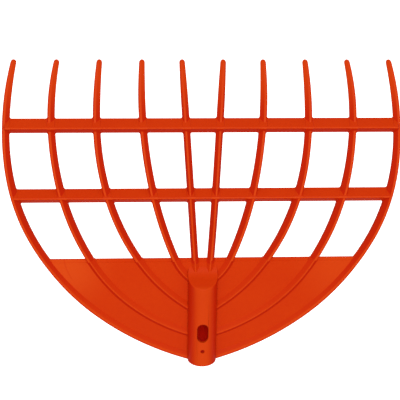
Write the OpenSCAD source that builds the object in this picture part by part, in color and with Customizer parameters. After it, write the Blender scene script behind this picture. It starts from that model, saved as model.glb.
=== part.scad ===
// Leaf hand: the ten-fingered scooping head of a long leaf grabber, made as one moulding.
// Each node is one member of that moulding, and neighbours meet face to face.
//
// Frame: the origin is the centre of the socket's mouth, +Z runs up the socket towards
// the finger tips, X runs across the hand, and -Y is the ribbed, convex back.
// A depth is measured from the smooth palm face towards the ribbed back.

/* [Handle socket] */
// Outside diameter of the socket tube
socket_od = 32; // [29:0.5:40]
// Diameter of the bore that takes the pole
socket_bore = 25.6; // [20:0.2:26]
// Length of the bore, from the mouth to the closed end
bore_len = 90; // [75:1:95]
// Thickness of the closed end over the bore, at the back of the hand
end_wall = 6.5; // [3:0.5:10]
// Rise of the sloping closed end, away from square to the socket
end_slope = 28; // [15:1:35]
// Width of the long window in the socket's wall
window_w = 11.8; // [6:0.2:14.2]
// Length of the long window
window_h = 22.8; // [18:0.2:28]
// Height of the window's centre above the mouth
window_z = 42; // [38:1:52]
// Diameter of the hole for the pole's fixing screw
screw_d = 4; // [3:0.5:5]
// Diameter of the screw hole's countersink
screw_head_d = 6.4; // [6:0.2:10]
// Depth of the countersink
screw_head_depth = 1.2; // [0.6:0.1:2]
// Height of the screw hole above the mouth
screw_z = 19; // [10:0.5:20]

/* [Sheet that every member follows] */
// Distance of the palm face behind the socket's axis
palm_y = 6; // [3:0.5:9]
// Height above the mouth where the straight sheet starts to curl
curl_start_z = 60; // [20:5:90]
// Radius of the curl, at the palm face
curl_r = 600; // [450:10:1200]

/* [Apron] */
// Height of the apron's straight top edge above the mouth
apron_h = 122; // [100:1:150]
// Thickness of the apron
apron_t = 3; // [2:0.5:4]

/* [Finger routes] */
// Height of the finger tips above the mouth
hand_length = 328; // [315:1:400]
// Half the hand's width, to the middle of the outermost finger
hand_half_w = 208; // [190:1:250]
// Spacing of the curved fingers at their widest
finger_pitch = 47.7; // [40:0.1:52]
// Height of each curved finger's widest place, inner to outer
widest_z = [299, 269, 271, 252]; // [240:1:310]
// Radius of each curved finger above the apron, inner to outer
side_r = [464, 272, 303, 235]; // [200:1:600]
// Height of each curved finger's root on the socket, inner to outer
root_z = [102, 66.5, 33.5, 5]; // [5:0.5:110]
// How far the innermost curved finger leans in from its widest place to its tip
tip_lean = 0.5; // [0.3:0.1:3]
// How much more each finger further out leans in
tip_lean_step = 2.7; // [0:0.1:5]
// Distance of the straight middle fingers from the centre line, at the socket's end
middle_root_x = 6.5; // [5.5:0.5:9]
// Distance of the middle fingers' tips from the centre line
middle_tip_x = 21.8; // [17:0.2:26]

/* [Finger section] */
// Width of a finger at the palm face
finger_w = 8; // [6:0.5:10]
// Width of a finger's raised crest
crest_w = 4; // [2.5:0.5:5]
// Width of a finger at its tip
tip_w = 5; // [4:0.5:6]
// Length of a finger's taper, down from its round tip
taper_len = 50; // [30:1:55]
// Depth of a finger's full-width base
base_depth = 4.8; // [4.2:0.1:5.5]
// Depth of a finger over its crest
finger_depth = 6.5; // [6:0.1:8]

/* [Crossbars] */
// Height of the lower crossbar's middle above the mouth
lower_bar_z = 192; // [180:1:230]
// Height of the upper crossbar's middle above the mouth
upper_bar_z = 263.5; // [250:0.5:275]
// Height of a crossbar at the palm face
bar_h = 14.2; // [10:0.2:16.4]
// Depth of a crossbar's straight top and bottom sides, before it narrows to the ridge
bar_side = 1.2; // [0.6:0.2:3]
// Height of a crossbar's ridge
bar_ridge_h = 2.4; // [1.6:0.2:4]
// Depth of a crossbar over its ridge
bar_depth = 9; // [6.5:0.1:10]

/* [Hidden] */
// Curved fingers on each side
pairs = 4;
// Steps along each arc of a finger, and along the curl
arc_steps = 14;
curl_steps = 28;
// Angle of the curl, carried past the tips
curl_angle = asin((hand_length + finger_w - curl_start_z)/curl_r);
tip_z = hand_length - tip_w/2;
socket_r = socket_od/2;
curl_y = palm_y + curl_r;
end_front_z = bore_len + end_wall;
end_top_z = end_front_z + (socket_r + palm_y - apron_t)*tan(end_slope);
end_back_z = end_top_z - socket_r + palm_y;
// Longer than the hand each way, for shapes that cut right through it
reach = 2*(hand_length + hand_half_w);
$fn = 96;

fingers = [1:2*(pairs + 1)];

function lerp(a, b, t) = a + (b - a)*t;
function unit(a) = [cos(a), sin(a)];

// The fingers' plan is drawn in X and Z on the right-hand half. Finger 0 is the straight
// middle one, fingers 1 to 4 are curved, and the last of them is the rim.

// Where a curved finger is widest
function widest(i) = [hand_half_w - (pairs - i)*finger_pitch, widest_z[i - 1]];

// Where a curved finger meets the side of the socket
function root(i) = [socket_r, root_z[i - 1]];

// The middle of a finger's round tip
function tip(i) = [
    i == 0 ? middle_tip_x : widest(i).x - tip_lean - (i - 1)*tip_lean_step,
    tip_z
];

// Above the apron a curved finger is one arc up to its widest place
function side_centre(i) = widest(i) - [side_r[i - 1], 0];
function joint_angle(i) = asin((apron_h - widest(i).y)/side_r[i - 1]);
function joint(i) = side_centre(i) + side_r[i - 1]*unit(joint_angle(i));

// On the apron it is an arc that carries on from there to the root
function rib_r(i) = let (d = root(i) - joint(i)) -(d*d)/(2*d*unit(joint_angle(i)));
function rib_centre(i) = joint(i) - rib_r(i)*unit(joint_angle(i));
function root_angle(i) = let (d = root(i) - rib_centre(i)) atan2(d.y, d.x);

// Past its widest place it is an arc that leans in to the tip
function tip_r(i) = let (d = widest(i) - tip(i)) (d*d)/(2*d.x);
function tip_angle(i) = asin((tip(i).y - widest(i).y)/tip_r(i));

// The angle of a rib's arc that passes a finger's width into the socket
function root_overrun(i) = finger_w/rib_r(i)*180/PI;

// Points along an arc, each as [x, z, angle of the outward normal]. The first step is 1
// on an arc that carries on from another.
function arc(centre, r, from, to, first = 1) = [
    for (k = [first:arc_steps])
        let (a = lerp(from, to, k/arc_steps), p = centre + r*unit(a))
        [p.x, p.y, a]
];

// The middle line of a finger from inside the socket to its tip, in the same form
function finger_line(i) = i == 0
    ? let (from = [middle_root_x, bore_len], to = tip(0), a = atan2(from.x - to.x, to.y - from.y))
        [for (k = [0:arc_steps]) let (p = lerp(from, to, k/arc_steps)) [p.x, p.y, a]]
    : concat(
        arc(rib_centre(i), rib_r(i), root_angle(i) - root_overrun(i), joint_angle(i), first = 0),
        arc(side_centre(i), side_r[i - 1], joint_angle(i), 0),
        arc(widest(i) - [tip_r(i), 0], tip_r(i), 0, tip_angle(i))
    );

// Width at height z of a finger, or of its crest, that is w wide at its root
function width_at(z, w) =
    let (t = max(0, (z - tip_z + taper_len)/taper_len))
    w*lerp(1, tip_w/finger_w, t*t);

// One edge of a finger: side 1 is the outer edge and side -1 the inner
function edge(i, w, side) = [
    for (p = finger_line(i)) [p.x, p.y] + side*width_at(p.y, w)/2*unit(p[2])
];

function reversed(points) = [for (k = [len(points) - 1:-1:0]) points[k]];
function mirrored(points) = [for (p = points) [-p.x, p.y]];

// Carries a drawing in X and Z right through the hand
module along_y() {
    rotate([90, 0, 0]) linear_extrude(reach, center = true) children();
}

// Carries a drawing in Y and Z right across the hand
module along_x() {
    rotate([90, 0, 90]) linear_extrude(reach, center = true) children();
}

// The side profile of the sheet at one depth, in Y and Z: straight, then curled
function profile(depth) = concat(
    [[palm_y - depth, -socket_od]],
    [for (k = [0:curl_steps])
        let (p = (curl_r + depth)*unit(curl_angle*k/curl_steps))
        [curl_y - p.x, curl_start_z + p.y]]
);

// The part of the curved sheet between two depths
module sheet(low, high) {
    along_x() polygon(concat(profile(low), reversed(profile(high))));
}

module below_apron_edge() {
    along_y() translate([-reach/2, apron_h - reach]) square(reach);
}

module above_apron_edge() {
    along_y() translate([-reach/2, apron_h]) square(reach);
}

module finger_plan(i, w) {
    polygon(concat(edge(i, w, 1), reversed(edge(i, w, -1))));
    translate(tip(i)) circle(d = width_at(tip(i).y, w));
}

// Everything between the two rim fingers, out to one edge of a rim that is w wide
module hand_plan(w, side) {
    rim = edge(pairs, w, side);
    polygon(concat(rim, reversed(mirrored(rim))));
}

// Finger n of ten, counted from the left, of which 1 to 5 are the mirrored ones
function place_of(n) = n <= pairs + 1 ? pairs + 1 - n : n - pairs - 2;
module on_its_side(n) {
    mirror([n <= pairs + 1 ? 1 : 0, 0, 0]) children();
}

// A crossbar's ridged section, in Y and Z, for a bar whose middle is at height z. It starts
// behind the palm face, and it is even about Y so that it leaves its mould.
module bar_section(z) {
    slope = asin((z - curl_start_z)/curl_r);
    lean = tan(slope)*bar_h/2;
    translate([curl_y - curl_r*cos(slope), z]) polygon([
        [bar_h, -bar_h/2],
        [bar_h, bar_h/2],
        [lean - bar_side, bar_h/2],
        [-bar_depth, bar_ridge_h/2],
        [-bar_depth, -bar_ridge_h/2],
        [-lean - bar_side, -bar_h/2]
    ]);
}

module whole_bar(z) {
    intersection() {
        along_x() bar_section(z);
        along_y() hand_plan(crest_w, -1);
        sheet(0, bar_depth + 1);
    }
}

module finger_base(i, low) {
    intersection() {
        along_y() finger_plan(i, finger_w);
        sheet(low, base_depth);
    }
}

// A crossbar laps over the base of each finger that it crosses
module crossbar(z) {
    difference() {
        whole_bar(z);
        for (n = fingers) on_its_side(n) finger_base(place_of(n), -1);
    }
}

// The crest starts inside the base
module finger_crest(i) {
    intersection() {
        along_y() finger_plan(i, crest_w);
        sheet((apron_t + base_depth)/2, finger_depth);
    }
}

module lower_crossbar() {
    color("orangered") crossbar(lower_bar_z);
}

module upper_crossbar() {
    color("orangered") crossbar(upper_bar_z);
}

// A tine's crest stops at each crossbar, and its base carries on behind it
module tine(n) {
    i = place_of(n);
    color("orangered") on_its_side(n) intersection() {
        above_apron_edge();
        union() {
            finger_base(i, 0);
            difference() {
                finger_crest(i);
                whole_bar(lower_bar_z);
                whole_bar(upper_bar_z);
            }
        }
    }
}

// A rib stands on the apron's back and ends against the socket
module rib(n) {
    i = place_of(n);
    color("orangered") on_its_side(n) difference() {
        intersection() {
            below_apron_edge();
            union() {
                finger_base(i, apron_t);
                finger_crest(i);
            }
        }
        socket_room();
    }
}

module apron() {
    color("orangered") difference() {
        intersection() {
            along_y() hand_plan(finger_w, 1);
            sheet(0, apron_t);
            below_apron_edge();
        }
        socket_room();
    }
}

// What the socket fills, and the space below its mouth
module socket_room() {
    translate([0, 0, -reach]) cylinder(r = socket_r, h = reach + bore_len);
    end_solid();
}

module end_solid() {
    intersection() {
        translate([0, 0, bore_len]) cylinder(r = socket_r, h = end_top_z);
        along_x() polygon([
            [-socket_r, bore_len],
            [-socket_r, end_front_z],
            [palm_y - apron_t, end_top_z],
            [palm_y, end_top_z],
            [socket_r, end_back_z],
            [socket_r, bore_len]
        ]);
    }
}

// The closed end slopes from the front of the socket up to the apron's back
module socket_end() {
    color("orangered") end_solid();
}

module socket_tube() {
    color("orangered") difference() {
        cylinder(r = socket_r, h = bore_len);
        translate([0, 0, -1]) cylinder(d = socket_bore, h = bore_len + 2);
        rotate([90, 0, 0]) {
            window();
            screw_hole();
        }
    }
}

// The window and the screw hole go through the ribbed side of the socket only
module window() {
    straight = window_h - window_w;
    for (side = [-1, 1])
        translate([0, window_z + side*straight/2, 0]) cylinder(d = window_w, h = socket_od);
    translate([-window_w/2, window_z - straight/2, 0]) cube([window_w, straight, socket_od]);
}

module screw_hole() {
    widening = (screw_head_d - screw_d)/screw_head_depth;
    translate([0, screw_z, 0]) {
        cylinder(d = screw_d, h = socket_od);
        translate([0, 0, socket_r - screw_head_depth])
            cylinder(d1 = screw_d, d2 = screw_head_d + widening, h = screw_head_depth + 1);
    }
}

socket_tube();
socket_end();
apron();
for (n = fingers) {
    rib(n);
    tine(n);
}
lower_crossbar();
upper_crossbar();
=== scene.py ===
# %% [markdown]
# # The hand of a leaf grabber
# A leaf grabber has a large plastic hand on the end of a pole. The hand is one moulding:
# ten fingers, two crossbars that tie them together, a solid apron low down, and a socket
# for the pole. It is modelled here member by member, as its mould was cut.
#
# The measured CAD model of the hand is loaded first. It fixes where everything goes, and
# it stays hidden behind the finished pieces.

import math

import bpy
from mathutils import Matrix, Vector


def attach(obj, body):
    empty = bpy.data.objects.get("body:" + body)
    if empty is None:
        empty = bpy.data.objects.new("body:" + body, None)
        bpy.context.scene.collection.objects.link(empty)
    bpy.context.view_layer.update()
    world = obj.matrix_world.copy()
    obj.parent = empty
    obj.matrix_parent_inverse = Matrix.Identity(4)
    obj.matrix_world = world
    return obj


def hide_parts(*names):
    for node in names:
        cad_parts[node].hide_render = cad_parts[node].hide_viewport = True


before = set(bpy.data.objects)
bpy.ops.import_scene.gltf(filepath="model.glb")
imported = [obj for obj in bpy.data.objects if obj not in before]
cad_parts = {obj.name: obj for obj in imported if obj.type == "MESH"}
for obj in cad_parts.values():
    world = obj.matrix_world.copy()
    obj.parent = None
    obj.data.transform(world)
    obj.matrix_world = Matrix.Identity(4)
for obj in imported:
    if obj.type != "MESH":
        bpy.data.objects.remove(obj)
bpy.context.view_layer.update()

# %% [markdown]
# ## Picking things by their place
# An operator acts on all that is selected, and the loaded hand comes in selected. So each
# step starts by letting go of everything. Corners are then picked in code by a test on
# where they are, which is what a box selection does by hand.

# %% Helpers that select
def let_go():
    if bpy.context.mode != "OBJECT":
        bpy.ops.object.mode_set(mode="OBJECT")
    bpy.ops.object.select_all(action="DESELECT")


def take(*pieces):
    """Selects these pieces only, with the last one active."""
    let_go()
    for piece in pieces:
        piece.select_set(True)
    bpy.context.view_layer.objects.active = pieces[-1]


def edit(piece):
    """Opens a piece in edit mode, with all of it selected."""
    take(piece)
    bpy.ops.object.mode_set(mode="EDIT")
    bpy.ops.mesh.select_mode(type="VERT")
    bpy.ops.mesh.select_all(action="SELECT")


def pick(piece, test):
    """In edit mode, selects the corners whose place passes a test."""
    bpy.ops.object.mode_set(mode="OBJECT")
    for part in (piece.data.polygons, piece.data.edges):
        part.foreach_set("select", [False] * len(part))
    for corner in piece.data.vertices:
        corner.select = bool(test(corner.co))
    bpy.ops.object.mode_set(mode="EDIT")


def pick_edges(piece, test):
    """In edit mode, selects the edges whose two ends together pass a test."""
    bpy.ops.mesh.select_mode(type="EDGE")
    bpy.ops.mesh.select_all(action="DESELECT")
    bpy.ops.object.mode_set(mode="OBJECT")
    places = [corner.co for corner in piece.data.vertices]
    for line in piece.data.edges:
        line.select = bool(test(*(places[end] for end in line.vertices)))
    bpy.ops.object.mode_set(mode="EDIT")


def apply_modifiers(piece):
    take(piece)
    for modifier in list(piece.modifiers):
        bpy.ops.object.modifier_apply(modifier=modifier.name)


let_go()
HAIR = 1e-6                     # metres; places closer than this count as the same

# %% [markdown]
# ## The route of each finger
# Seen from the front, a finger leaves the socket on one arc, crosses the apron's top edge
# and rises on a second arc to its widest place, then leans in on a third arc to its tip.
# Only the middle pair is straight. The arcs are worked out on the right-hand side, and
# each one is walked in short steps. A stop on the walk is an x, a height z, and the angle
# that the finger's outer side faces.

# %% Sizes of the hand, in metres
TOP = 0.328                     # height of the tips
APRON_TOP = 0.122
HALF_WIDTH = 0.208              # to the middle of the outermost finger
PITCH = 0.0477                  # from finger to finger at their widest places
LEAN_IN = 0.0005                # how far the innermost curved tip leans in
LEAN_PITCH = 0.0027             # how much more each next one does
WIDEST_Z = [0.299, 0.269, 0.271, 0.252]
RISE_RADIUS = [0.464, 0.272, 0.303, 0.235]
ROOT_Z = [0.102, 0.0665, 0.0335, 0.005]
SOCKET_R = 0.016
FINGER_W = 0.008
TIP_W = 0.0062
TAPER = 0.050                   # the length over which a tine narrows to its tip
TIP_Z = TOP - TIP_W / 2
STEP = 0.0045                   # the longest step of a walk


def walk(centre, radius, start, end):
    count = max(3, round(abs(end - start) * radius / STEP))
    angles = [start + (end - start) * k / count for k in range(count + 1)]
    return [(centre[0] + radius * math.cos(a), centre[1] + radius * math.sin(a), a) for a in angles]


def curved_route(place):
    """The rib and the tine of curved finger 1 to 4, inner to outer, as two lists of stops."""
    wide_x = HALF_WIDTH - (4 - place) * PITCH
    wide_z, radius = WIDEST_Z[place - 1], RISE_RADIUS[place - 1]
    joint = math.asin((APRON_TOP - wide_z) / radius)
    rise = walk((wide_x - radius, wide_z), radius, joint, 0)
    out = Vector((math.cos(joint), math.sin(joint)))
    top = Vector(rise[0][:2])
    gap = Vector((SOCKET_R, ROOT_Z[place - 1])) - top
    rib_radius = -gap.length_squared / (2 * gap.dot(out))
    middle = top - rib_radius * out
    root = math.atan2(gap.y + top.y - middle.y, gap.x + top.x - middle.x)
    rib = walk(middle, rib_radius, root - FINGER_W / rib_radius, joint)
    lean = LEAN_IN + (place - 1) * LEAN_PITCH
    tip_radius = (lean**2 + (TIP_Z - wide_z) ** 2) / (2 * lean)
    end = math.asin((TIP_Z - wide_z) / tip_radius)
    return rib, rise + walk((wide_x - tip_radius, wide_z), tip_radius, 0, end)[1:]


def straight_route():
    foot, tip = Vector((0.0065, 0.090)), Vector((0.0218, TIP_Z))
    angle = math.atan2(foot.x - tip.x, tip.y - foot.y)
    split = (APRON_TOP - foot.y) / (tip.y - foot.y)

    def stops(start, end, count):
        points = [foot.lerp(tip, start + (end - start) * k / count) for k in range(count + 1)]
        return [(p.x, p.y, angle) for p in points]

    return stops(0.03, split, 6), stops(split, 1, 44)


ROUTES = [straight_route()] + [curved_route(place) for place in (1, 2, 3, 4)]
for place, (rib, tine) in enumerate(ROUTES):
    print("finger", place, "has", len(rib), "stops on the apron and", len(tine), "above it")

# %% [markdown]
# ## The curl
# The hand is gently cupped: it is straight up to a little above the window, then it
# curls away on a 600 mm radius. Every member is first modelled flat, with its smooth palm
# side on y = 0 and its ridge towards -Y. A lattice cage then pushes each member back by
# the curl. One cage for all keeps the members together, and a Bend modifier would also
# shorten them, which this does not.

# %% The cage that curls the hand
PALM_Y = 0.006
CURL_START = 0.060
CURL_RADIUS = 0.600
CAGE_LAYERS = 49
CAGE_WIDE, CAGE_DEEP = 0.5, 0.1
CAGE_LOW, CAGE_HIGH = -0.02, 0.34


def palm(z):
    """Where the palm side is at height z."""
    rise = max(0.0, z - CURL_START)
    return PALM_Y + CURL_RADIUS - math.sqrt(CURL_RADIUS**2 - rise**2)


def lean_of(z):
    """How far the palm side leans back at height z, as an angle."""
    return math.asin(max(0.0, z - CURL_START) / CURL_RADIUS)


let_go()
bpy.ops.object.add(type="LATTICE", radius=1)
cage = bpy.context.object
cage.name = "curl_cage"
cage.data.points_w = CAGE_LAYERS
cage.data.interpolation_type_u = cage.data.interpolation_type_v = "KEY_LINEAR"
cage.data.interpolation_type_w = "KEY_CARDINAL"
cage.scale = (CAGE_WIDE, CAGE_DEEP, CAGE_HIGH - CAGE_LOW)
cage.location = (0, 0, (CAGE_HIGH + CAGE_LOW) / 2)
for point in cage.data.points:
    height = cage.location.z + point.co.z * cage.scale.z
    point.co_deform = point.co + Vector((0, palm(height) / cage.scale.y, 0))
bpy.context.view_layer.update()
print("the palm side is at y =", [round(palm(z / 100), 4) for z in (0, 12, 19, 26, 32)])

# %% [markdown]
# ## The finger's cross-section
# Cut through, a finger is a low ridge: a flat palm side, short straight sides that draw
# out of the mould, and two flanks that rise to a rounded crest. A plane is the start. Its
# far edge is extruded to each further width and depth, the lines between are dissolved,
# and each corner is rounded with a vertex bevel.

# %% Section plates
RIDGE = 0.0065                  # depth over the crest that the sections are drawn at
PALM_ROUNDING = 0.0004          # on the edges of the palm side


def add_section(name, low, corners, outward=0):
    """A flat section in the XY plane. Each corner is a half-width, a depth, the size of
    its rounding, and the steps in it. The section starts at the depth called low, and
    its crest stands off the middle, towards the outer side, by the distance outward."""
    let_go()
    bpy.ops.mesh.primitive_plane_add(size=1)
    piece = bpy.context.object
    piece.name = piece.data.name = name
    half, depth = corners[0][:2]
    edit(piece)
    bpy.ops.transform.resize(value=(2 * half, depth - low, 1), center_override=(0, 0, 0))
    bpy.ops.transform.translate(value=(0, -(depth + low) / 2, 0))
    for wide, deep, _, _ in corners[1:]:
        pick(piece, lambda p: abs(p.y + depth) < HAIR)
        bpy.ops.mesh.extrude_region_move(TRANSFORM_OT_translate={"value": (0, depth - deep, 0)})
        bpy.ops.transform.resize(value=(wide / half, 1, 1), center_override=(0, -deep, 0))
        half, depth = wide, deep
    for _, deep, _, _ in corners[:-1]:
        pick(piece, lambda p: abs(p.y + deep) < HAIR)
        bpy.ops.mesh.dissolve_edges(use_verts=False)
    for wide, deep, size, steps in corners:
        if size:
            pick(piece, lambda p: abs(p.y + deep) < HAIR and abs(abs(p.x) - wide) < HAIR)
            bpy.ops.mesh.bevel(affect="VERTICES", offset=size, segments=steps)
    if low == 0:
        pick(piece, lambda p: p.y > -HAIR)
        bpy.ops.mesh.bevel(affect="VERTICES", offset=PALM_ROUNDING, segments=2)
    pick(piece, lambda p: p.y < -0.8 * depth)          # the crest
    bpy.ops.transform.translate(value=(outward, 0, 0))
    bpy.ops.object.mode_set(mode="OBJECT")
    return piece


middle_tine = add_section("middle_tine_section", 0, [
    (0.0040, 0.0031, 0.0009, 3),
    (0.0012, RIDGE, 0.00095, 4),
], outward=0.0006)
outer_tine = add_section("outer_tine_section", 0, [
    (0.0040, 0.0031, 0.0007, 3),
    (0.0014, RIDGE, 0.0009, 4),
], outward=0.0015)
middle_rib = add_section("middle_rib_section", 0.0015, [
    (0.0046, 0.0034, 0, 0),
    (0.0038, 0.0038, 0.0004, 3),
    (0.0005, RIDGE, 0.00045, 4),
])
outer_rib = add_section("outer_rib_section", 0.0015, [
    (0.0050, 0.0034, 0, 0),
    (0.0042, 0.0038, 0.0004, 3),
    (0.00055, RIDGE, 0.0005, 4),
], outward=0.0009)
sections = [middle_tine, outer_tine, middle_rib, outer_rib]
for section in sections:
    print(section.name, "has", len(section.data.vertices), "corners")

# %% [markdown]
# ## Drawing a section along its route
# A finger is swept: the section stands on the first stop, and is extruded from stop to
# stop, turned to face along the route, and made narrower and shallower on the way. A
# curve with a bevel object could do that too, but it twists and it scales both ways
# alike. With no window open, rotate turns the other way, so +X goes towards +Z here.

# %% The sweep, and how a piece is finished
hand = {}                       # each finished piece, by the CAD node that it stands for
SHARP = math.radians(35)


def call(piece, node):
    piece.name = piece.data.name = "moulded_" + node
    hand[node] = piece


def turn(angle, centre):
    bpy.ops.transform.rotate(value=angle, orient_axis="Y", center_override=centre)


def sweep(section, node, rings):
    """Each ring is an x, a z, an angle, and how many times as wide and deep it is."""
    take(section)
    bpy.ops.object.duplicate()
    piece = bpy.context.object
    call(piece, node)
    edit(piece)
    x, z, angle, wide, deep = rings[0]
    bpy.ops.transform.translate(value=(x, 0, z))
    turn(angle, (x, 0, z))
    bpy.ops.transform.resize(value=(wide, deep, wide), center_override=(x, 0, z))
    for x2, z2, angle2, wide2, deep2 in rings[1:]:
        bpy.ops.mesh.extrude_region_move(TRANSFORM_OT_translate={"value": (x2 - x, 0, z2 - z)})
        turn(angle2 - angle, (x2, 0, z2))
        bpy.ops.transform.resize(value=(wide2 / wide, deep2 / deep, wide2 / wide),
                                 center_override=(x2, 0, z2))
        x, z, angle, wide, deep = x2, z2, angle2, wide2, deep2
    bpy.ops.mesh.select_all(action="SELECT")
    bpy.ops.mesh.normals_make_consistent(inside=False)
    bpy.ops.object.mode_set(mode="OBJECT")
    return piece


def curl(piece):
    """Pushes a flat piece back by the curl of the hand."""
    cage_on = piece.modifiers.new("curl", "LATTICE")
    cage_on.object = cage
    apply_modifiers(piece)


def smooth(piece):
    """Shades a piece smooth, except over edges sharper than SHARP, and keeps its flats flat."""
    take(piece)
    bpy.ops.object.shade_smooth_by_angle(angle=SHARP)
    piece.modifiers.new("flat flats", "WEIGHTED_NORMAL").keep_sharp = True
    apply_modifiers(piece)


print("a finger is drawn along up to", max(len(rib) + len(tine) for rib, tine in ROUTES), "stops")

# %% [markdown]
# ## Ribs and tines
# A finger is one member on the real hand. Its lower part, the rib, stands on the apron's
# back, and its upper part, the tine, is free. They are swept as two pieces that meet on
# the same ring, so the joint does not show. The ridge is deepest near the lower crossbar,
# where the load is, and the tine thins and narrows to a round tip. The outermost rib has
# no apron beyond it, so it has the whole section.

# %% How deep and how wide a finger is
RIM_EXTRA = 0.0015              # how much wider the rim is low down
TIP_FLAT = 0.62                 # the share of a tip's depth that stays as it closes


def ease(value, start, end):
    share = min(1.0, max(0.0, (value - start) / (end - start)))
    return share * share * (3 - 2 * share)


def depth_at(z):
    """How many times as deep as its section a finger is at height z."""
    thick = 0.0058 + 0.0024 * ease(z, 0.110, 0.170)
    thick -= 0.0028 * ease(z, 0.190, 0.255) + 0.0016 * ease(z, 0.260, 0.330)
    return thick / math.cos(lean_of(z)) / RIDGE


def width_at(z):
    share = max(0.0, (z - TIP_Z + TAPER) / TAPER)
    return 1 + (TIP_W / FINGER_W - 1) * share * share


def rings_on(stops, outer=False):
    """The rings of a finger. The outermost finger is wider low down, all on its outer side."""
    rings = []
    for x, z, a in stops:
        extra = RIM_EXTRA * (1 - ease(z, 0.060, 0.150)) if outer else 0
        rings.append((x + extra / 2 * math.cos(a), z + extra / 2 * math.sin(a), a,
                      width_at(z) + extra / FINGER_W, depth_at(z)))
    return rings


def round_tip(stops):
    """Rings past the last stop that close a tine in a round end."""
    x, z, angle, wide, deep = rings_on(stops)[-1]
    reach = TIP_W / 2
    ends = []
    for degrees in (18, 36, 53, 68, 80):
        out, in_ = math.sin(math.radians(degrees)), math.cos(math.radians(degrees))
        ends.append((x - math.sin(angle) * reach * out, z + math.cos(angle) * reach * out,
                     angle, wide * in_, deep * (TIP_FLAT + (1 - TIP_FLAT) * in_)))
    return ends


print("going up, a finger is", [round(depth_at(z) * RIDGE * 1000, 1) for z in (0.05, 0.19, 0.32)],
      "mm deep")

# %% [markdown]
# Only the right-hand fingers are swept. A copy of each is turned over by a scale of -1
# across the hand, which makes its twin. The curved ribs start inside the tube's wall, so
# a bisect cuts their ends off flat there.

# %% Sweep the right-hand fingers, then mirror them
RIB_CUT_X = 0.0144              # where the ribs are cut off, inside the tube's wall

for place, (rib_stops, tine_stops) in enumerate(ROUTES):
    n = 6 + place
    tine_section = outer_tine if place else middle_tine
    rib_section = [middle_rib, outer_rib, outer_rib, outer_rib, outer_tine][place]
    rib = sweep(rib_section, f"rib_{n}", rings_on(rib_stops, place == 4))
    if place:
        edit(rib)
        bpy.ops.mesh.bisect(plane_co=(RIB_CUT_X, 0, 0), plane_no=(1, 0, 0),
                            clear_inner=True, use_fill=True)
    tine = sweep(tine_section, f"tine_{n}",
                 rings_on(tine_stops, place == 4) + round_tip(tine_stops))
    for piece, member in ((rib, "rib"), (tine, "tine")):
        curl(piece)
        bpy.ops.object.duplicate()
        other = bpy.context.object
        call(other, f"{member}_{11 - n}")
        edit(other)
        bpy.ops.transform.resize(value=(-1, 1, 1), center_override=(0, 0, 0))
        bpy.ops.mesh.normals_make_consistent(inside=False)
        smooth(piece)
        smooth(other)
print(len(hand), "pieces; the outermost tine reaches z =",
      round(max(corner.co.z for corner in hand["tine_10"].data.vertices), 5))

# %% [markdown]
# ## The two crossbars
# A crossbar is a wider, deeper ridge that runs straight across the hand. It is swept from
# one rim to the other. Where it meets a finger the corner has a small radius, so its
# rings come close together there and grow taller, and they lean with the finger. At each
# end the ridge drops inside the rim, like the hip of a roof.

# %% Sweep the crossbars
BAR_HALF = 0.0072
BAR_DEPTH = 0.009
BAR_Z = {"lower_crossbar": 0.192, "upper_crossbar": 0.2635}
CORNER_R = 0.0017               # in the corner between a bar and a finger
CORNER_TURNS = [math.radians(turned) for turned in (0, 22.5, 45, 67.5, 90)]
HIP_FAR, HIP_NEAR, HIP_DEPTH = 0.0024, 0.0002, 0.45
SINK = 0.00006                  # keeps two pieces' palm sides from lying in one plane

bar_section = add_section("bar_section", SINK, [
    (BAR_HALF, 0.0012, 0.0008, 3),
    (0.0008, BAR_DEPTH, 0.00075, 4),
])


def crossing(stops, z):
    """The x and the angle of a finger where it passes height z."""
    for (x1, z1, a1), (x2, z2, a2) in zip(stops, stops[1:]):
        if z1 <= z <= z2:
            share = (z - z1) / (z2 - z1)
            return x1 + (x2 - x1) * share, a1 + (a2 - a1) * share


def bar_rings(z):
    """The rings of a bar from the right rim to the left one."""
    right = [crossing(tine, z) for _, tine in ROUTES]
    half = width_at(z) * FINGER_W / 2
    rings = []

    def ring(x, angle, flare=0.0, deep=1.0):
        wide = (1 + flare / BAR_HALF) / math.cos(angle)
        rings.append((x, z, math.radians(90) + angle, wide, deep))

    def corner_rings(x, angle, way, turns):
        """Rings that follow the corner's radius, on the finger's side that way points to."""
        for turned in turns:
            off = half / math.cos(angle) + CORNER_R * (1 - math.cos(turned))
            ring(x + way * off, angle, CORNER_R * (1 - math.sin(turned)))

    fingers = [(x, a) for x, a in reversed(right)] + [(-x, -a) for x, a in right]
    for order, (x, angle) in enumerate(fingers):
        if order == 0:
            ring(x + HIP_FAR, angle, deep=HIP_DEPTH)
            ring(x + HIP_NEAR, angle)
        else:
            corner_rings(x, angle, 1, reversed(CORNER_TURNS))
        if order == len(fingers) - 1:
            ring(x - HIP_NEAR, angle)
            ring(x - HIP_FAR, angle, deep=HIP_DEPTH)
        else:
            corner_rings(x, angle, -1, CORNER_TURNS)
    return rings


for node, z in BAR_Z.items():
    bar = sweep(bar_section, node, bar_rings(z))
    curl(bar)
    smooth(bar)
    print(node, "spans", round(bar.dimensions.x, 4), "m")

# %% [markdown]
# ## The apron
# The apron is a thin plate between the rims. It starts as one narrow strip beside the
# socket. Its top edge is extruded up the hand, row by row, and each row is widened to
# reach the rim. The rows above the socket's closed end are also carried in to the middle.
# A Mirror modifier makes the other half and a Solidify modifier gives the plate its
# 3 mm. Last, its top edge is thinned to a lip.

# %% Shape the apron
INNER_X = 0.0145                # the strip starts here, inside the tube's wall
RIM_INSET = 0.0032              # the plate ends inside the rim, this far from its middle
EDGE_Z = 0.1232                 # the apron's edge stands a little above the ribs' upper ends
LIP = 0.0037                    # how tall the thinned lip is
LIP_EDGE = 0.0005               # and the short slope below it
BEHIND_END_Z = 0.094            # above this the plate passes behind the closed end

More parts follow.
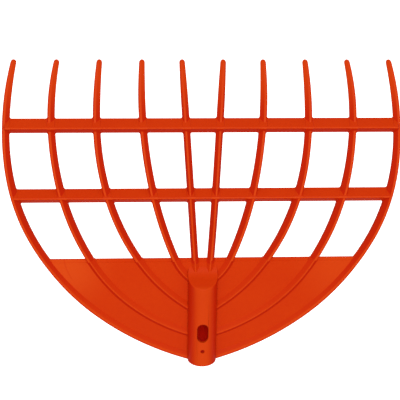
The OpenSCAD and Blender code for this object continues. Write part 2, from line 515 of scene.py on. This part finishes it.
rim = [(x, z) for x, z, _ in ROUTES[4][0] if x > INNER_X + 0.002]
top_x = rim[-1][0]
rim[-1:] = [(top_x - 0.0016, EDGE_Z - LIP), (top_x - 0.0012, EDGE_Z - LIP + LIP_EDGE), (top_x, EDGE_Z)]
rim = [(x - RIM_INSET, z) for x, z in rim]

let_go()
bpy.ops.mesh.primitive_plane_add(size=1, rotation=(math.radians(90), 0, 0))
apron = bpy.context.object
call(apron, "apron")
bpy.ops.object.transform_apply(location=False, rotation=True, scale=False)
edit(apron)
(x0, z0), (x1, z1) = rim[0], rim[1]
bpy.ops.transform.resize(value=(x0 - INNER_X, 1, z1 - z0), center_override=(0, 0, 0))
bpy.ops.transform.translate(value=((x0 + INNER_X) / 2, -SINK, (z0 + z1) / 2))
pick(apron, lambda p: p.z > (z0 + z1) / 2)
wide = x0 - INNER_X
bpy.ops.transform.resize(value=((x1 - INNER_X) / wide, 1, 1), center_override=(INNER_X, 0, 0))
wide = x1 - INNER_X
for (xa, za), (xb, zb) in zip(rim[1:], rim[2:]):
    bpy.ops.mesh.extrude_region_move(TRANSFORM_OT_translate={"value": (0, 0, zb - za)})
    bpy.ops.transform.resize(value=((xb - INNER_X) / wide, 1, 1), center_override=(INNER_X, 0, 0))
    wide = xb - INNER_X
pick(apron, lambda p: abs(p.x - INNER_X) < 10 * HAIR and p.z > BEHIND_END_Z)
bpy.ops.mesh.extrude_region_move(TRANSFORM_OT_translate={"value": (-INNER_X, 0, 0)})
bpy.ops.object.mode_set(mode="OBJECT")
print("one half of the apron has", len(apron.data.polygons), "faces")

# %% [markdown]
# The two modifiers are applied at once, because the lip is shaped by hand on the finished
# wall. Its back is pushed in by 0.6 mm, and the two long edges on top are rounded.

# %% Give the apron its other half, its wall and its lip
APRON_T = 0.003
LIP_THINNED = 0.0006
LIP_ROUNDING = 0.0005

halves = apron.modifiers.new("both halves", "MIRROR")
halves.merge_threshold = 10 * HAIR
wall = apron.modifiers.new("3 mm wall", "SOLIDIFY")
wall.thickness = APRON_T
wall.offset = 1
apply_modifiers(apron)
edit(apron)
pick(apron, lambda p: p.y < -APRON_T / 2 and p.z > EDGE_Z - LIP + LIP_EDGE / 2)
bpy.ops.transform.translate(value=(0, LIP_THINNED, 0))
pick_edges(apron, lambda a, b: min(a.z, b.z) > EDGE_Z - HAIR and abs(a.y - b.y) < HAIR)
bpy.ops.mesh.bevel(offset=LIP_ROUNDING, segments=2)
bpy.ops.object.mode_set(mode="OBJECT")
curl(apron)
smooth(apron)
print("the apron is", round(apron.dimensions.x, 4), "m wide")

# %% [markdown]
# ## The socket tube
# The pole pushes into this tube. A long window in its front lets the mould's core be held
# straight, and a small countersunk hole below takes the screw that keeps the pole in. A
# cylinder without ends is the start, and a Solidify modifier gives it its wall, inwards.
# The window and the hole are cut by two cutters, and the cut edges are rounded after.

# %% A cylinder, and cutting with it
def add_cylinder(name, radius, length, centre, along_y=False, ends="NGON", sides=128):
    let_go()
    bpy.ops.mesh.primitive_cylinder_add(vertices=sides, radius=radius, depth=length, end_fill_type=ends,
                                        location=centre, rotation=(math.radians(90 * along_y), 0, 0))
    piece = bpy.context.object
    piece.name = piece.data.name = name
    bpy.ops.object.transform_apply()
    return piece


def combine(piece, other, operation):
    """Cuts the other piece from this one, or keeps what they share, and removes the other."""
    joined = piece.modifiers.new(operation, "BOOLEAN")
    joined.operation, joined.object, joined.solver = operation, other, "EXACT"
    apply_modifiers(piece)
    bpy.data.objects.remove(other)


# %% Model the socket tube
BORE_R = 0.0128
BORE_LEN = 0.090

tube = add_cylinder("tube", SOCKET_R, BORE_LEN, (0, 0, BORE_LEN / 2), ends="NOTHING")
call(tube, "socket_tube")
wall = tube.modifiers.new("wall", "SOLIDIFY")
wall.thickness = SOCKET_R - BORE_R
wall.offset = -1
apply_modifiers(tube)
print("the tube's wall is", round((SOCKET_R - BORE_R) * 1000, 1), "mm thick")

# %% [markdown]
# The window's cutter is a cylinder whose upper and lower halves are drawn apart, which
# makes a slot with round ends. The screw's cutter is a thin cylinder. Its front end is
# extruded and widened into a cone, which cuts the countersink in the same go.

# %% Cut the window and the screw hole
WINDOW_W, WINDOW_H, WINDOW_Z = 0.0118, 0.0228, 0.042
SCREW_R, SCREW_HEAD_R, SCREW_HEAD_DEPTH, SCREW_Z = 0.0021, 0.0028, 0.0007, 0.019
WINDOW_REACH = 0.014            # the window's cutter is as long, with its middle this far forward
SCREW_REACH = 0.008

window = add_cylinder("window_cutter", WINDOW_W / 2, WINDOW_REACH, (0, -WINDOW_REACH, WINDOW_Z),
                      along_y=True, sides=64)
edit(window)
for way in (-1, 1):
    pick(window, lambda p: (p.z - WINDOW_Z) * way > HAIR)
    bpy.ops.transform.translate(value=(0, 0, way * (WINDOW_H - WINDOW_W) / 2))
bpy.ops.object.mode_set(mode="OBJECT")
combine(tube, window, "DIFFERENCE")

sink_y = -SOCKET_R + SCREW_HEAD_DEPTH
hole = add_cylinder("screw_cutter", SCREW_R, SCREW_REACH, (0, sink_y + SCREW_REACH / 2, SCREW_Z),
                    along_y=True, sides=40)
edit(hole)
pick(hole, lambda p: p.y < sink_y + HAIR)
bpy.ops.mesh.extrude_region_move(TRANSFORM_OT_translate={"value": (0, -2 * SCREW_HEAD_DEPTH, 0)})
flare = 1 + 2 * (SCREW_HEAD_R - SCREW_R) / SCREW_R
bpy.ops.transform.resize(value=(flare, 1, flare), center_override=(0, sink_y, SCREW_Z))
bpy.ops.object.mode_set(mode="OBJECT")
combine(tube, hole, "DIFFERENCE")
print("the tube has", len(tube.data.vertices), "corners after the cuts")

# %% [markdown]
# A moulded edge is never sharp. The mouth's outer and inner edges and the window's outline
# are picked by their place and bevelled. Rounded edges also catch a thin line of light.

# %% Round the tube's edges
OUTER_ROUNDING, INNER_ROUNDING, WINDOW_ROUNDING = 0.0006, 0.0010, 0.0004
ON_WALL = 4e-5                  # metres; a place this close to a wall counts as on it

edit(tube)
for radius, size in ((SOCKET_R, OUTER_ROUNDING), (BORE_R, INNER_ROUNDING)):
    pick_edges(tube, lambda a, b: all(p.z < HAIR and abs(p.xy.length - radius) < ON_WALL / 2
                                      for p in (a, b)))
    bpy.ops.mesh.bevel(offset=size, segments=3, clamp_overlap=False)


def on_the_cut(p):
    """True for a corner on the window's outline, on the outer wall."""
    tall = max(0.0, abs(p.z - WINDOW_Z) - (WINDOW_H - WINDOW_W) / 2)
    on_wall = p.y < 0 and p.xy.length > SOCKET_R - ON_WALL
    return on_wall and abs(math.hypot(p.x, tall) - WINDOW_W / 2) < ON_WALL


pick_edges(tube, lambda a, b: on_the_cut(a) and on_the_cut(b))
bpy.ops.mesh.bevel(offset=WINDOW_ROUNDING, segments=2, clamp_overlap=False)
bpy.ops.object.mode_set(mode="OBJECT")
smooth(tube)
print("with its edges rounded, the tube has", len(tube.data.vertices), "corners")

# %% [markdown]
# ## The closed end
# Above the bore the socket is closed. Seen from the side, the end slopes back from the
# tube's front and sweeps up into the apron in one soft hollow, and on the palm side it is
# a plain slope. That side view is drawn first, as a flat outline. It is extruded across
# the hand, and what it shares with a round bar as thick as the tube is kept. Its outline
# stands in the curled hand, so this piece isn't pushed back by the cage.

# %% Draw the closed end's side view
END_FRONT_Z = 0.0965
END_SLOPE = math.radians(28)
HOLLOW = 0.0098                 # how far the hollow reaches from its corner
HOLLOW_STEPS = 12
ACROSS = 0.018                  # the outline is this wide to each side, a little past the tube


def back_of_apron(z):
    return palm(z) - APRON_T


def rear_of_end(z):
    """The palm side of the end: a 45 degree slope, then just inside the apron."""
    return max(PALM_Y + corner_z - z, palm(z) - 0.0002)


corner_z = END_FRONT_Z
for _ in range(20):
    corner_z = END_FRONT_Z + (back_of_apron(corner_z) + SOCKET_R) * math.tan(END_SLOPE)
corner_y = back_of_apron(corner_z)
rise_angle = math.pi / 2 - lean_of(corner_z)
hollow_r = HOLLOW / math.tan((rise_angle - END_SLOPE) / 2)
hollow_y = corner_y - HOLLOW * math.cos(END_SLOPE) - hollow_r * math.sin(END_SLOPE)
hollow_z = corner_z - HOLLOW * math.sin(END_SLOPE) + hollow_r * math.cos(END_SLOPE)
lower_front = (-ACROSS, END_FRONT_Z - (ACROSS - SOCKET_R) * math.tan(END_SLOPE))
lower_rear = (ACROSS, corner_z - ACROSS + PALM_Y)
outline = [((-ACROSS, BORE_LEN), (ACROSS, BORE_LEN)), (lower_front, lower_rear)]
for k in range(HOLLOW_STEPS + 1):
    angle = END_SLOPE + (rise_angle - END_SLOPE) * k / HOLLOW_STEPS
    y, z = hollow_y + hollow_r * math.sin(angle), hollow_z - hollow_r * math.cos(angle)
    outline.append(((y, z), (rear_of_end(z), z)))
print("the slope meets the apron at z =", round(corner_z, 4))

# %% [markdown]
# The outline is built from the bottom up. The upper edge of a plane is extruded to each
# further row, and its rear corner is put in its place. The lines between the rows are
# then dissolved, so that the side view is one face, and it is extruded across the hand.

# %% Model the closed end
def at(spot):
    """A test for the corner at this y and z."""
    return lambda p: math.hypot(p.y - spot[0], p.z - spot[1]) < 10 * HAIR


def shift_corner(piece, old, new):
    pick(piece, at(old))
    bpy.ops.transform.translate(value=(0, new[0] - old[0], new[1] - old[1]))


let_go()
bpy.ops.mesh.primitive_plane_add(size=1, rotation=(0, math.radians(90), 0))
end = bpy.context.object
call(end, "socket_end")
bpy.ops.object.transform_apply()
edit(end)
plane_corners = ((-0.5, -0.5), (0.5, -0.5), (-0.5, 0.5), (0.5, 0.5))
for old, new in zip(plane_corners, outline[0] + outline[1]):
    shift_corner(end, old, new)
for (front, rear), (front2, rear2) in zip(outline[1:], outline[2:]):
    step = (front2[0] - front[0], front2[1] - front[1])
    pick(end, lambda p: at(front)(p) or at(rear)(p))
    bpy.ops.mesh.extrude_region_move(TRANSFORM_OT_translate={"value": (0, *step)})
    shift_corner(end, (rear[0] + step[0], rear[1] + step[1]), rear2)
for front, rear in outline[1:-1]:
    pick(end, lambda p: at(front)(p) or at(rear)(p))
    bpy.ops.mesh.dissolve_edges(use_verts=False)
bpy.ops.mesh.select_all(action="SELECT")
bpy.ops.transform.translate(value=(-ACROSS, 0, 0))
bpy.ops.mesh.extrude_region_move(TRANSFORM_OT_translate={"value": (2 * ACROSS, 0, 0)})
bpy.ops.mesh.select_all(action="SELECT")
bpy.ops.mesh.normals_make_consistent(inside=False)
bpy.ops.object.mode_set(mode="OBJECT")
combine(end, add_cylinder("round_bar", SOCKET_R, 0.05, (0, 0, 0.105)), "INTERSECT")
print("the closed end has", len(end.data.vertices), "corners")

# %% [markdown]
# The front edge of the slope is soft on the real hand. Only the short edges around the
# tube's front are picked: the long one that runs straight across, at the foot of the
# hollow, also has both its ends on the tube's wall, and stays as it is.

# %% Round the closed end's front edge
END_ROUNDING = 0.0011
SHORT = 0.005


def on_front_edge(p):
    slope_z = END_FRONT_Z + (p.y + SOCKET_R) * math.tan(END_SLOPE)
    return p.y < 0 and abs(p.xy.length - SOCKET_R) < 3e-5 and abs(p.z - slope_z) < 3e-5


edit(end)
pick_edges(end, lambda a, b: abs(a.x - b.x) < SHORT and on_front_edge(a) and on_front_edge(b))
bpy.ops.mesh.bevel(offset=END_ROUNDING, segments=4, clamp_overlap=False)
bpy.ops.object.mode_set(mode="OBJECT")
smooth(end)
print("the closed end reaches z =", round(max(corner.co.z for corner in end.data.vertices), 4))

for tool in (*sections, bar_section, cage):
    bpy.data.objects.remove(tool)

# %% [markdown]
# ## A small way of writing materials
# A material is a net of nodes. Written out by hand, its sums are hard to read, so one
# small class wraps a socket and lets it stand in an ordinary Python sum. Each sum then
# adds its own Math node.

# %% Sums on sockets
class Reading:
    """A socket that stands in a sum."""

    def __init__(self, finish, socket):
        self.finish, self.socket = finish, socket

    def __add__(self, other):
        return self.finish.maths("ADD", self, other)

    def __mul__(self, other):
        return self.finish.maths("MULTIPLY", self, other)

    def __sub__(self, other):
        return self.finish.maths("SUBTRACT", self, other)

    def __rsub__(self, other):
        return self.finish.maths("SUBTRACT", other, self)

    def __neg__(self):
        return 0 - self

    __radd__ = __add__
    __rmul__ = __mul__


class Finish:
    """A material, and the ways of adding nodes to it."""

    def __init__(self, name):
        self.material = bpy.data.materials.new(name)
        self.material.use_nodes = True
        self.tree = self.material.node_tree
        self.shader = self.tree.nodes["Principled BSDF"]

    def feed(self, node, values):
        for name, value in values.items():
            if isinstance(value, Reading):
                self.tree.links.new(value.socket, node.inputs[name])
            else:
                node.inputs[name].default_value = value

    def add(self, kind, settings, values, output=0):
        """Any node: its settings are made first, then its sockets are fed."""
        node = self.tree.nodes.new("ShaderNode" + kind)
        for name, value in settings.items():
            setattr(node, name, value)
        self.feed(node, values)
        return Reading(self, node.outputs[output])

    def maths(self, operation, *values):
        return self.add("Math", {"operation": operation}, dict(enumerate(values)))

    def between(self, value, low, high):
        """0 below low, 1 above high, and a soft step between them."""
        return self.add("MapRange", {"interpolation_type": "SMOOTHSTEP"},
                        {0: value, 1: low, 2: high, 3: 0.0, 4: 1.0})

    def band(self, value, rise, fall):
        """0 below the pair rise and above the pair fall, and 1 between them."""
        return self.between(value, *rise) * (1 - self.between(value, *fall))

    def noise(self, place, scale, detail=2.0, roughness=0.5):
        return self.add("TexNoise", {}, {"Vector": place, "Scale": scale, "Detail": detail,
                                         "Roughness": roughness})

    def stretch(self, place, factors):
        return self.add("VectorMath", {"operation": "MULTIPLY"}, {0: place, 1: factors})

    def dot(self, first, second):
        return self.add("VectorMath", {"operation": "DOT_PRODUCT"}, {0: first, 1: second}, output=1)

    def mix(self, share, first, second):
        return self.add("Mix", {"data_type": "RGBA"}, {0: share, 6: first, 7: second}, output=2)


# %% [markdown]
# ## The plastic
# The hand is polypropylene, coloured through in a hot orange-red, with a satin skin. Its
# broad faces are painted a little paler and its steep flanks a deeper red: this is painted
# shade, set by which way a surface faces, for the light from high in front. Pigment is never
# quite even, so the colour drifts over some centimetres and is mottled over some millimetres.
# The crests carry a painted highlight, a thin paler line, and scuffs of wear that are paler
# still; the crests are smoother and the scuffs rougher. A flat colour with one roughness
# would look like paint in a game.
#
# All of this is worked out from the place on the object, in metres, and from which way
# the surface faces, so the pattern stays put when the hand is turned.

# %% Where on the hand, and which way it faces
# The way that the painted light comes from, along which the broad faces look.
PAINTED_LIGHT_WAY = (0, -0.985, 0.174)  # the way that the broad faces look, 10 degrees up

plastic = Finish("orange_red_polypropylene")
place = plastic.add("TexCoord", {}, {}, output=3)
axes = plastic.add("SeparateXYZ", {}, {0: place})
across, through, height = (Reading(plastic, socket) for socket in axes.socket.node.outputs)
normal = plastic.add("NewGeometry", {}, {}, output=1)
facing = plastic.maths("ABSOLUTE", plastic.dot(normal, PAINTED_LIGHT_WAY))
skyward = plastic.maths("ABSOLUTE", plastic.dot(normal, (0, 0, 1)))

above_curl = plastic.maths("MAXIMUM", height - CURL_START, 0.0)
palm_here = PALM_Y + CURL_RADIUS - plastic.maths("SQRT", CURL_RADIUS**2 - above_curl * above_curl)
depth = palm_here - through
print("the finish starts from", len(plastic.tree.nodes), "nodes")

# %% Colour
DEEP_RED = (0.575, 0.0180, 0.0010, 1)
ORANGE_RED = (0.670, 0.0430, 0.0012, 1)
PALE = (0.770, 0.0820, 0.0075, 1)

PLATE_BACK = (0.0031, 0.0034)   # the step in depth from the apron's back to the ridges

# Painted shade: faces that look out to the front, and the bars' tops and undersides, are  painted a
# lighter orange-red. The steep flanks, the ribs' flanks most, are painted a deeper red.
beside = plastic.maths("MAXIMUM", plastic.between(plastic.maths("ABSOLUTE", across), 0.0145, 0.0165),
                       plastic.between(height, 0.117, 0.120))
on_ridge = plastic.band(depth, PLATE_BACK, (0.0085, 0.0095)) * beside
outward = 1 - (1 - facing) * (1 + 1.9 * on_ridge)
skyward = skyward + 0.30 * (1 - on_ridge)
painted_lit_faces = plastic.maths("MAXIMUM", plastic.between(outward, 0.55, 0.95),
                           plastic.between(skyward, 0.62, 0.80))
drift = plastic.noise(place, 16, 2)
mottle = plastic.noise(place, 240, 3, 0.6)
speck = plastic.noise(place, 1500, 1)
scuff = plastic.noise(plastic.stretch(place, (420, 900, 160)), 1, 3, 0.6)

# Painted highlight: a thin paler line along the crests; the scuffs on them are wear.
crest = plastic.band(depth, (0.0044, 0.0062), (0.0095, 0.0105)) * plastic.between(facing, 0.90, 0.985)
worn = crest * plastic.between(scuff + 0.25 * drift, 0.42, 0.74)
# Painted light: near the tips the tines, flanks included, are painted lighter and paler, as if their
# faces turned up into the light.
tip = plastic.between(height, 0.270, 0.318)
painted_lit_faces = plastic.maths("MAXIMUM", painted_lit_faces, 0.85 * tip)
# Painted highlight: a paler band down the front of the tube.
painted_tube_highlight = plastic.between(depth, 0.0185, 0.0220)
# Painted shade with a random tone: lit faces take the orange-red, flanks stay deep red, and drift,
# mottle and specks vary both.
painted_shade_and_tone = painted_lit_faces * (0.80 + 0.5 * (drift - 0.5) + 0.35 * (mottle - 0.5)) + 0.12 * (speck - 0.5)
colour = plastic.mix(painted_shade_and_tone, DEEP_RED, ORANGE_RED)
# Mixed towards the pale colour: the crests' painted highlight and their worn scuffs, the tube's painted
# highlight, and the painted light on the tips.
colour = plastic.mix(0.26 * crest + 0.26 * worn + 0.30 * painted_tube_highlight + 0.25 * tip, colour, PALE)

# %% [markdown]
# Inside the bore the light comes through the thin wall, so the plastic glows a purer,
# stronger red there. A mask finds the bore: it is 1 where a place is near the tube's axis
# and below the closed end.

# %% The bore
BORE_RED = (0.700, 0.0085, 0.0010, 1)


def distance(x, z):
    return plastic.maths("SQRT", x * x + z * z)


near_axis = 1 - plastic.between(distance(across, through), BORE_R + 0.0002, BORE_R + 0.0008)
in_bore = near_axis * (1 - plastic.between(height, BORE_LEN, BORE_LEN + 0.0005))
colour = plastic.mix(in_bore, colour, BORE_RED)
print("the colour has", len(plastic.tree.nodes), "nodes so far")

# %% [markdown]
# The corners of the apron are painted paler, the left one most: a painted sheen, for the
# light that the satin skin catches out there. They are also less rough, so they are glossier.
# The apron also has a curved flow line, where two streams of plastic met.

# %% Painted sheen on the corners, and a flow line
CORNER_X, CORNER_Z = 0.150, 0.114
FLOW_CENTRE = (-0.080, 0.135)   # x and z of the arc that the flow line follows
FLOW_RADIUS = 0.071

on_apron = plastic.band(depth, (0.0020, 0.0024), PLATE_BACK)
left, right = (1 - plastic.between(distance(across - way * CORNER_X, height - CORNER_Z), 0.004, 0.062)
               for way in (-1, 1))
# Painted sheen: the apron's corners are painted paler, the left one most.
painted_corner_sheen = on_apron * (0.62 * left + 0.34 * right)
from_centre = distance(across - FLOW_CENTRE[0], height - FLOW_CENTRE[1])
off_line = plastic.maths("ABSOLUTE", from_centre - FLOW_RADIUS)
flow = 1 - plastic.between(off_line, 0.0002, 0.0011)
flow = flow * on_apron * plastic.between(-across, 0.138, 0.142) * plastic.between(height, 0.097, 0.104)
colour = plastic.mix(painted_corner_sheen, colour, PALE)
colour = plastic.mix(0.30 * flow, colour, DEEP_RED)
plastic.feed(plastic.shader, {"Base Color": colour})
print("with its corners the colour has", len(plastic.tree.nodes), "nodes")

# %% [markdown]
# The skin is satin, and no spot is quite as rough as the next: crests are smoother,
# scuffed spots rougher, and the glossy corners smoothest. The mould's fine grain, a slow
# swell from cooling and the scratches are too small to model, so they are one Bump node.
# Its heights are in metres, so a grain of 0.012 mm is written as just that.

# %% Roughness and fine relief
roughness = 0.44 + 0.16 * (drift - 0.5) + 0.14 * (mottle - 0.5)
roughness = roughness - 0.10 * crest + 0.10 * worn - 0.16 * painted_corner_sheen
plastic.feed(plastic.shader, {"Roughness": roughness, "Specular IOR Level": 0.04})

grain = plastic.noise(place, 2600, 2)
swell = plastic.noise(place, 38, 1)
scratches = plastic.between(scuff, 0.60, 0.66) * crest
relief = 0.000012 * grain + 0.00016 * swell - 0.00002 * scratches - 0.00004 * flow
bump = plastic.add("Bump", {}, {"Height": relief, "Distance": 1.0, "Strength": 1.0})
plastic.feed(plastic.shader, {"Normal": bump})
print("the plastic has", len(plastic.tree.nodes), "nodes")

# %% [markdown]
# Every member is the same plastic, as they were moulded together. Each finished piece also
# names the CAD node that it stands for, so that the plain one stays hidden.

# %% Dress the pieces, and say what each one stands for
for node, piece in hand.items():
    piece.data.materials.clear()
    piece.data.materials.append(plastic.material)
    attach(piece, "root")
    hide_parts(node)
print(len(hand), "pieces dressed")

# %% [markdown]
# ## Camera, floor and light
# The hand stands on its socket's mouth and is seen from its ribbed side, a little from
# above. The floor is a plain pale one, well below, and it glows a little, so that it
# stays an even white. A soft broad sun from high in front gives the ridges their lit
# crests. Two weaker ones, from behind and from below, keep the flanks and the undersides
# of the bars from going dull, and the dim surroundings fill the rest.

# %% Camera
TARGET = Vector((-0.00324, 0.020, 0.1863))
DISTANCE = 1.0726
SIDE, TILT, ROLL = math.radians(-3.0), math.radians(23), math.radians(0.8)

let_go()
bpy.ops.object.camera_add()
camera = bpy.context.object
camera.data.lens = 90
back = Vector((math.sin(SIDE) * math.cos(TILT), -math.cos(SIDE) * math.cos(TILT), math.sin(TILT)))
camera.location = TARGET + DISTANCE * back
roll = Matrix.Rotation(ROLL, 3, "Z").to_quaternion()
camera.rotation_mode = "QUATERNION"
camera.rotation_quaternion = (-back).to_track_quat("-Z", "Y") @ roll
bpy.context.scene.camera = camera
print("the camera stands at", [round(side, 3) for side in camera.location])

# %% [markdown]
# The lights' shadows stay soft because each sun is as wide as 35 degrees in the sky. The
# floor is hidden from the light's bounces, since its glow would brighten the hand.

# %% Floor and light
WORLD_LIGHT = 0.62
FLOOR_GLOW = 0.9
SUN_WIDTH = math.radians(35)
LIT_SPOT = Vector((0, 0, 0.18))
SUNS = {"front_sun": ((0, -1.8, 1.25), 1.24), "back_fill": ((0.5, 1.8, 0.9), 0.55),
        "low_fill": ((0, -1.8, -0.9), 0.24)}

world = bpy.data.worlds.new("studio")
bpy.context.scene.world = world
world.use_nodes = True
world.node_tree.nodes["Background"].inputs["Color"].default_value = (1, 1, 1, 1)
world.node_tree.nodes["Background"].inputs["Strength"].default_value = WORLD_LIGHT

let_go()
bpy.ops.mesh.primitive_plane_add(size=60, location=(0, 0, -0.3))
floor = bpy.context.object
floor.name = "floor"
pale = Finish("pale_floor")
pale.feed(pale.shader, {"Base Color": (0.9, 0.9, 0.9, 1), "Roughness": 1.0, "Specular IOR Level": 0.0,
                        "Emission Color": (1, 1, 1, 1), "Emission Strength": FLOOR_GLOW})
floor.data.materials.append(pale.material)
floor.visible_diffuse = floor.visible_glossy = floor.visible_shadow = False

for name, (location, energy) in SUNS.items():
    let_go()
    bpy.ops.object.light_add(type="SUN", location=location)
    sun = bpy.context.object
    sun.name = name
    sun.data.energy = energy
    sun.data.angle = SUN_WIDTH
    sun.rotation_euler = (LIT_SPOT - sun.location).to_track_quat("-Z", "Y").to_euler()
bpy.context.scene.view_settings.view_transform = "Standard"
print(len(SUNS), "suns and a floor are in place")
